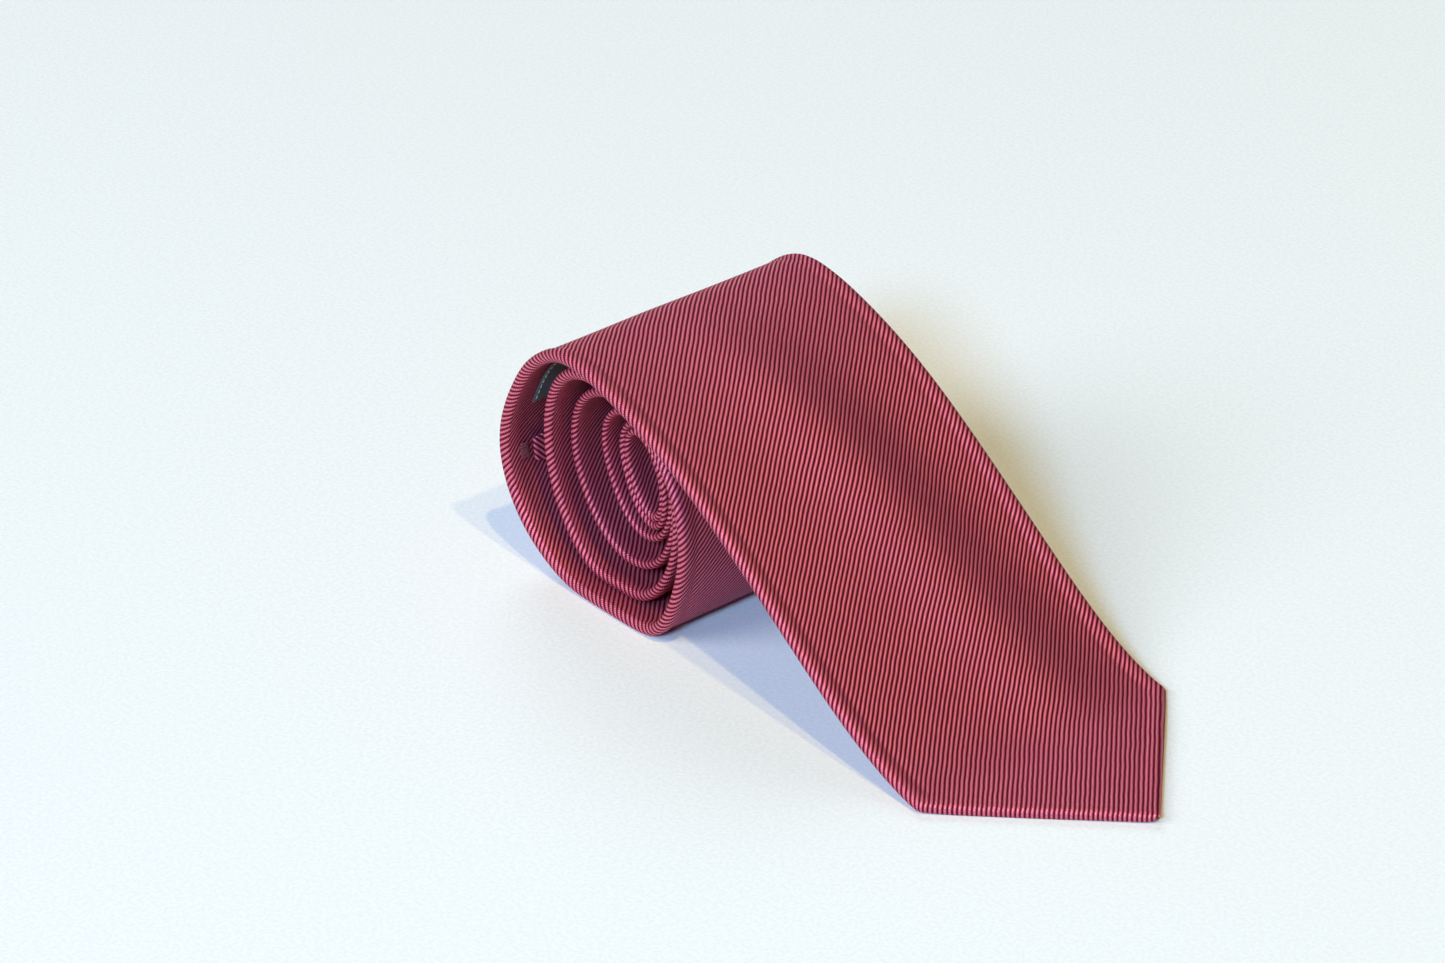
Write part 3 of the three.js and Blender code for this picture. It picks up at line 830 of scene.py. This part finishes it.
TWILL = twill_material()
SATIN = satin_material()
WOOL = wool_material()
THREAD = thread_material("sewing_thread", srgb(84, 18, 40), srgb(160, 52, 74))
PALE_THREAD = thread_material("label_thread", srgb(120, 112, 104), srgb(190, 182, 172))
LABEL_RIBBON = ribbon_material("label_ribbon", srgb(38, 35, 33), srgb(80, 74, 70), 0.5, 0.6)
CARE_RIBBON = ribbon_material("care_ribbon", srgb(205, 203, 197), srgb(240, 239, 234), 0.4, 0.4)


def place_piece(piece, finish, nodes, body="roll"):
    """Gives a piece its material, hides the imported nodes it stands for, and hangs it on what it rides on.
    """
    piece.data.materials.clear()
    piece.data.materials.append(finish)
    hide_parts(*nodes)
    if body == "across_hinge":
        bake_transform(piece)
    else:
        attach(piece, body)
    return piece


def sheet_area(start, end):
    """The unfolded area of the shell's cloth between two places, in square metres."""
    places = np.arange(start, end, 1.0)
    wide = [2 * (half_section(s)[0][-1, 4] * slant_at(s) + half_width(s)) for s in places]
    return float(np.sum(wide)) * MM * MM


def add_shell_panel(name, start, end, nodes, body="roll"):
    panel = add_shell(name, start, end)
    place_piece(panel, TWILL, nodes, body)
    sheet_area(start, end)


def add_shells():
    """The three panels of the shell."""
    start, end = -POINT_LENGTH + TIP_CLEAR, BLADE_PANEL_END
    nodes = ["blade_shell_free", "blade_shell_coil"]
    add_shell_panel("blade_panel", start, end, nodes, "across_hinge")
    start, end = BLADE_PANEL_END + PANEL_GAP, NECK_PANEL_END
    add_shell_panel("neck_panel", start, end, ["neck_shell"])
    start, end = NECK_PANEL_END + PANEL_GAP, course.end - TIP_CLEAR
    add_shell_panel("tail_panel", start, end, ["tail_shell"])


def add_seams():
    """The closed seams between panels: a shallow groove with the stitching at the bottom of it."""
    for name, at in (("blade_neck_seam", BLADE_PANEL_END), ("neck_tail_seam", NECK_PANEL_END)):
        start, end = at - SEAM_LAP, at + PANEL_GAP + SEAM_LAP
        seam = add_shell(name + "_stitching", start, end, sunk=SEAM_SUNK)
        place_piece(seam, THREAD, [name])


def wool_outline(s):
    """The wool's outline across the tie: inside the folds, and under the flaps' turned edges."""
    side = half_width(s) - (CLOTH + WOOL_CLEAR) * slant_at(s)
    bottom = max(CLOTH + WOOL_CLEAR, thickness(s) - 3 * CLOTH - WOOL_CLEAR)
    return round_outline(-side, side, CLOTH + WOOL_FRONT_CLEAR, bottom, columns=32)


def inner_area(start, end):
    """The area of a layer cut to the shape of the finished tie, in square metres."""
    places = np.arange(start, end, 1.0)
    return float(sum(2 * half_width(s) - 1.5 for s in places)) * MM * MM


def add_interlining():
    """The wool inside the shell, cut to the shape of the finished tie."""
    start, end = -POINT_LENGTH + WOOL_FROM_POINT, course.end - WOOL_FROM_TAIL
    wool = slab_along("interlining_main", start, WOOL_JOIN, 2.0, wool_outline)
    nodes = ["interlining_free", "interlining_blade"]
    place_piece(wool, WOOL, nodes, "across_hinge")
    inner_area(start, WOOL_JOIN)
    tail_wool = slab_along("interlining_tail_end", WOOL_JOIN + PANEL_GAP, end, 1.6, wool_outline)
    place_piece(tail_wool, WOOL, ["interlining_tail"])
    inner_area(WOOL_JOIN, end)


def lining_grid(start, end, step, thick):
    """A lining just inside the back flaps. It swells a little where the flaps leave it uncovered."""
    middle, normal, flat = [], [], []
    columns = 25
    share = np.linspace(-1, 1, columns)
    for s in np.arange(start, end + step / 2, step):
        y = share * (half_width(s) - (CLOTH + TIPPING_CLEAR) * slant_at(s))
        gap = flap_gap(s)
        swell = TIPPING_SWELL * (1 - ease(np.abs(y) / max(gap, 1.0))) * ease(gap / 12)
        depth = thickness(s) - 2 * CLOTH - 0.55 + swell + 0.05 * waves(s * 2, y * 2, 4.0)
        middle.append(course.point(s, y, depth + drift(s, y)))
        normal.append(course.direction(s, np.zeros(columns), np.ones(columns)))
        flat.append(np.stack([np.full(columns, s), y, np.zeros(columns)], -1))
    middle = np.stack(middle)
    return middle, np.stack(normal), np.full(middle.shape[:2], thick), np.stack(flat)


def add_tippings():
    """The satin linings of the two points."""
    start = -POINT_LENGTH + WOOL_FROM_POINT
    blade = thick_sheet("blade_lining", *lining_grid(start, BLADE_TIPPING_END, 1.5, 0.22))
    place_piece(blade, SATIN, ["blade_tipping"], "across_hinge")
    inner_area(start, BLADE_TIPPING_END)
    start, end = course.end - TAIL_LINED + 2, course.end - WOOL_FROM_TAIL
    tail = thick_sheet("tail_lining", *lining_grid(start, end, 1.0, 0.18))
    place_piece(tail, SATIN, ["tail_tipping"])
    inner_area(start, end)


def slip_stitch_line(start, end):
    """The thread dives into one flap's fold and comes out at the other's, crossing the slot each time."""
    s = np.arange(start, end, 0.5)
    phase = (s - start) / SLIP_STITCH_LENGTH
    swing = np.clip(1.8 * np.sin(math.pi * phase), -1, 1)
    y = SLIP_STITCH_SWING * swing
    depth = np.array([thickness(one) for one in s]) - 0.02 - SLIP_STITCH_DIVE * np.abs(swing) ** 1.5
    moved = np.array([drift(one, 0.0) for one in s])
    return course.point(s, y, depth + moved)


def add_slip_stitch():
    line = slip_stitch_line(BLADE_TACK_AT + 2, course.end - TAIL_TACK_FROM_END)
    thread = tube("slip_stitch", line, SLIP_STITCH_RADIUS)
    nodes = ["slip_stitch_free", "slip_stitch_coil"]
    place_piece(thread, THREAD, nodes, "across_hinge")


def bar_tack(name, at, half, length):
    """A dense bar of thread across the tie, wrapped side by side over its core."""
    wraps = np.arange(-half, half + 0.01, WRAP_PITCH / 4)
    sides = 12
    turn = np.arange(sides) * 2 * math.pi / sides
    rings, flats = [], []
    for y in wraps:
        ridge = 1 + 0.16 * math.cos(2 * math.pi * y / WRAP_PITCH)
        end = max(0.25, math.sqrt(max(0.0, 1 - (abs(y) / (half + 0.05)) ** 12)))
        s = at + 0.5 * length * np.cos(turn) * ridge * end
        depth = thickness(at) + 0.12 + 0.3 * np.sin(turn) * ridge * end
        rings.append(course.point(s, np.full(sides, y), depth + drift(at, y)))
        flats.append(np.stack([s, np.full(sides, y), depth], -1))
    return swept(name, rings, flats)


def add_bar_tacks():
    blade = bar_tack("blade_tack", BLADE_TACK_AT, 5.0, TACK_LENGTH)
    place_piece(blade, THREAD, ["blade_bar_tack"], "across_hinge")
    tail = bar_tack("tail_tack", course.end - TAIL_TACK_FROM_END, 3.0, TAIL_TACK_LENGTH)
    place_piece(tail, THREAD, ["tail_bar_tack"])


def label_grid(from_s, to_s, near, far, lift, thick, columns=27):
    """A ribbon on the tie's back between two places across it. lift(share, s) raises it off the back."""
    share = np.linspace(0, 1, columns)
    middle, normal, flat = [], [], []
    for s in np.linspace(from_s, to_s, 17):
        y = near + (far - near) * share
        depth = thickness(s) + lift(share, (s - from_s) / (to_s - from_s))
        middle.append(course.point(s, y, depth + drift(s, y)))
        normal.append(course.direction(s, np.zeros(columns), np.ones(columns)))
        flat.append(np.stack([np.full(columns, s), y, np.zeros(columns)], -1))
    middle = np.stack(middle)
    return middle, np.stack(normal), np.full(middle.shape[:2], thick), np.stack(flat)


def stitches(name, start, end, count, share=0.62, radius=0.16):
    """A row of short stitches between two (s, y, height) places on the tie's back."""
    start, end = np.array(start, float), np.array(end, float)
    made = []
    for i in range(count):
        u = (i + (1 - share) / 2 + np.linspace(0, share, 7)) / count
        at = start + (end - start) * u[:, None]
        arch = 0.14 * np.sin(np.linspace(0, math.pi, 7)) - 0.06
        depth = np.array([thickness(s) + drift(s, y) + h for s, y, h in at]) + arch
        made.append(tube(f"{name}_{i}", course.point(at[:, 0], at[:, 1], depth), radius))
    return joined(name, made)


def add_labels():
    """The maker's label, held at its two ends, and the small care label, held along one edge."""
    near, far = -LABEL["half"], LABEL["half"]

    def bowed(share, along_share):
        return 0.42 + 0.35 * np.sin(math.pi * share) ** 2 + 0.04 * np.sin(9 * share + 5 * along_share)

    grid = label_grid(LABEL["from"], LABEL["to"], near, far, bowed, LABEL["thick"])
    label = thick_sheet("label_ribbon", *grid)
    place_piece(label, LABEL_RIBBON, ["maker_label"])
    for word, side in (("near", -1), ("far", 1)):
        y = side * (LABEL["half"] - 0.9)
        start = (LABEL["from"] + 1, y, LABEL_STITCH_RISE)
        end = (LABEL["to"] - 1, y, LABEL_STITCH_RISE)
        row = stitches(f"label_end_stitches_{word}", start, end, 12)
        place_piece(row, PALE_THREAD, [f"label_stitch_{word}"])

    def loose(share, along_share):
        return 0.34 + 0.5 * along_share**2 + 0.05 * np.sin(7 * share)

    near, far = CARE_LABEL["near"], CARE_LABEL["far"]
    grid = label_grid(CARE_LABEL["from"], CARE_LABEL["to"], near, far, loose, CARE_LABEL["thick"])
    care = thick_sheet("care_ribbon", *grid)
    place_piece(care, CARE_RIBBON, ["care_label"])
    s = CARE_LABEL["from"] + 1.5
    start, end = (s, near + 1, CARE_STITCH_RISE), (s, far - 1, CARE_STITCH_RISE)
    row = stitches("care_label_stitches", start, end, 6)
    place_piece(row, PALE_THREAD, ["care_label_stitch"])


def add_keeper():
    """The self-fabric loop that holds the tail: a folded band, bowed off the back, tacked at its ends."""
    at = KEEPER["at"]
    along_tie = np.array([-np.interp(at, course.s, course.into_z), 0, np.interp(at, course.s, course.into_x)])
    inward = course.direction(at, 0.0, 1.0)
    sides = 16
    turn = np.arange(sides) * 2 * math.pi / sides
    # A flat outline with round edges
    flat_cosine = np.sign(np.cos(turn)) * np.abs(np.cos(turn)) ** 0.35
    flat_sine = np.sign(np.sin(turn)) * np.abs(np.sin(turn)) ** 0.6
    high = KEEPER["half_thick"] * flat_sine
    rings, flats = [], []
    for v in np.linspace(-1, 1, 61):
        arch = 1 - v * v
        y = v * KEEPER["half"]
        across = (KEEPER["narrow"] + (KEEPER["wide"] - KEEPER["narrow"]) * min(1, arch * 1.6)) * flat_cosine
        depth = thickness(at) + drift(at, y) + KEEPER["lift"] + KEEPER["bow"] * arch
        place = course.point(at, np.full(sides, y), np.full(sides, depth))
        rings.append(place + (np.outer(across, -along_tie) + np.outer(high, inward)) * MM)
        flats.append(np.stack([across, np.full(sides, y), high], -1))
    loop = swept("keeper_band", rings, flats)
    place_piece(loop, TWILL, ["keeper_loop"], "keeper")
    for word, side in (("near", -1), ("far", 1)):
        y = side * (KEEPER["half"] + KEEPER_TACK_OUT)
        reach_s, reach_y = KEEPER_TACK_HALF["along"], KEEPER_TACK_HALF["across"]
        rows = []
        for i, s in enumerate(np.linspace(at - reach_s, at + reach_s, 6)):
            start, end = (s, y - reach_y, KEEPER_STITCH_RISE), (s, y + reach_y, KEEPER_STITCH_RISE)
            rows.append(stitches(f"row_{i}", start, end, 1, share=1.0, radius=0.3))
        tack = joined(f"keeper_tack_thread_{word}", rows)
        place_piece(tack, THREAD, [f"keeper_tack_{word}"])


add_interlining()
add_shells()
add_seams()
add_tippings()
add_slip_stitch()
add_bar_tacks()
add_labels()
add_keeper()


# ---------------------------------------------------------------- floor, light and camera
WARM = (1.0, 0.78, 0.26)
COOL = (0.37, 0.62, 0.97)
DAYLIGHT = (0.84, 0.9, 1.0)
SKYLIGHT = (0.84, 0.92, 1.0)
# Name, azimuth from +X towards +Y and elevation in degrees, distance and size in metres, power in watts
LIGHTS = [
    ("key", -26, 65, 4.8, 0.15, 62.0, WARM),
    ("second_key", -8, 59, 4.8, 0.15, 46.0, WARM),
    ("front_window", -58, 34, 5.0, 1.0, 235, COOL),
    ("front_fill", -105, 34, 9.0, 5.5, 470, DAYLIGHT),
    ("back_fill", 150, 40, 9.0, 5.0, 240, SKYLIGHT),
]
LIGHTS_AIM = (-0.02, 0, 0.02)
FLOOR_REACH = 3.0
CAMERA_AT = (0.93017, -0.84038, 0.78305)
CAMERA_TURN = 49.815
CAMERA_LOOKS_DOWN = 30.207
FOCAL_LENGTH = 135


def add_floor():
    reach = FLOOR_REACH
    corners = [(-reach, -reach, 0), (reach, -reach, 0), (reach, reach, 0), (-reach, reach, 0)]
    floor = new_mesh("floor", corners, [(0, 1, 2, 3)])
    floor.data.materials.append(floor_material())


def add_light(name, azimuth, elevation, distance, size, power, colour):
    data = bpy.data.lights.new(name, "AREA")
    data.shape = "DISK"
    data.size = size
    data.energy = power
    data.color = colour
    lamp = bpy.data.objects.new(name, data)
    bpy.context.collection.objects.link(lamp)
    a, e = math.radians(azimuth), math.radians(elevation)
    away = np.array([math.cos(a) * math.cos(e), math.sin(a) * math.cos(e), math.sin(e)])
    lamp.location = away * distance + np.array(LIGHTS_AIM)
    lamp.rotation_euler = (math.pi / 2 - e, 0, a + math.pi / 2)


def add_camera():
    data = bpy.data.cameras.new("camera")
    data.lens = FOCAL_LENGTH
    data.sensor_width = 36
    camera = bpy.data.objects.new("camera", data)
    bpy.context.collection.objects.link(camera)
    camera.location = CAMERA_AT
    camera.rotation_euler = (math.radians(90 - CAMERA_LOOKS_DOWN), 0, math.radians(CAMERA_TURN))
    bpy.context.scene.camera = camera


def add_world():
    world = bpy.data.worlds.new("studio")
    world.use_nodes = True
    background = world.node_tree.nodes["Background"]
    background.inputs["Color"].default_value = (0.94, 0.97, 1.0, 1)
    background.inputs["Strength"].default_value = 0.05
    bpy.context.scene.world = world


add_floor()
for light in LIGHTS:
    add_light(*light)
add_camera()
add_world()
bpy.context.scene.view_settings.view_transform = "Standard"
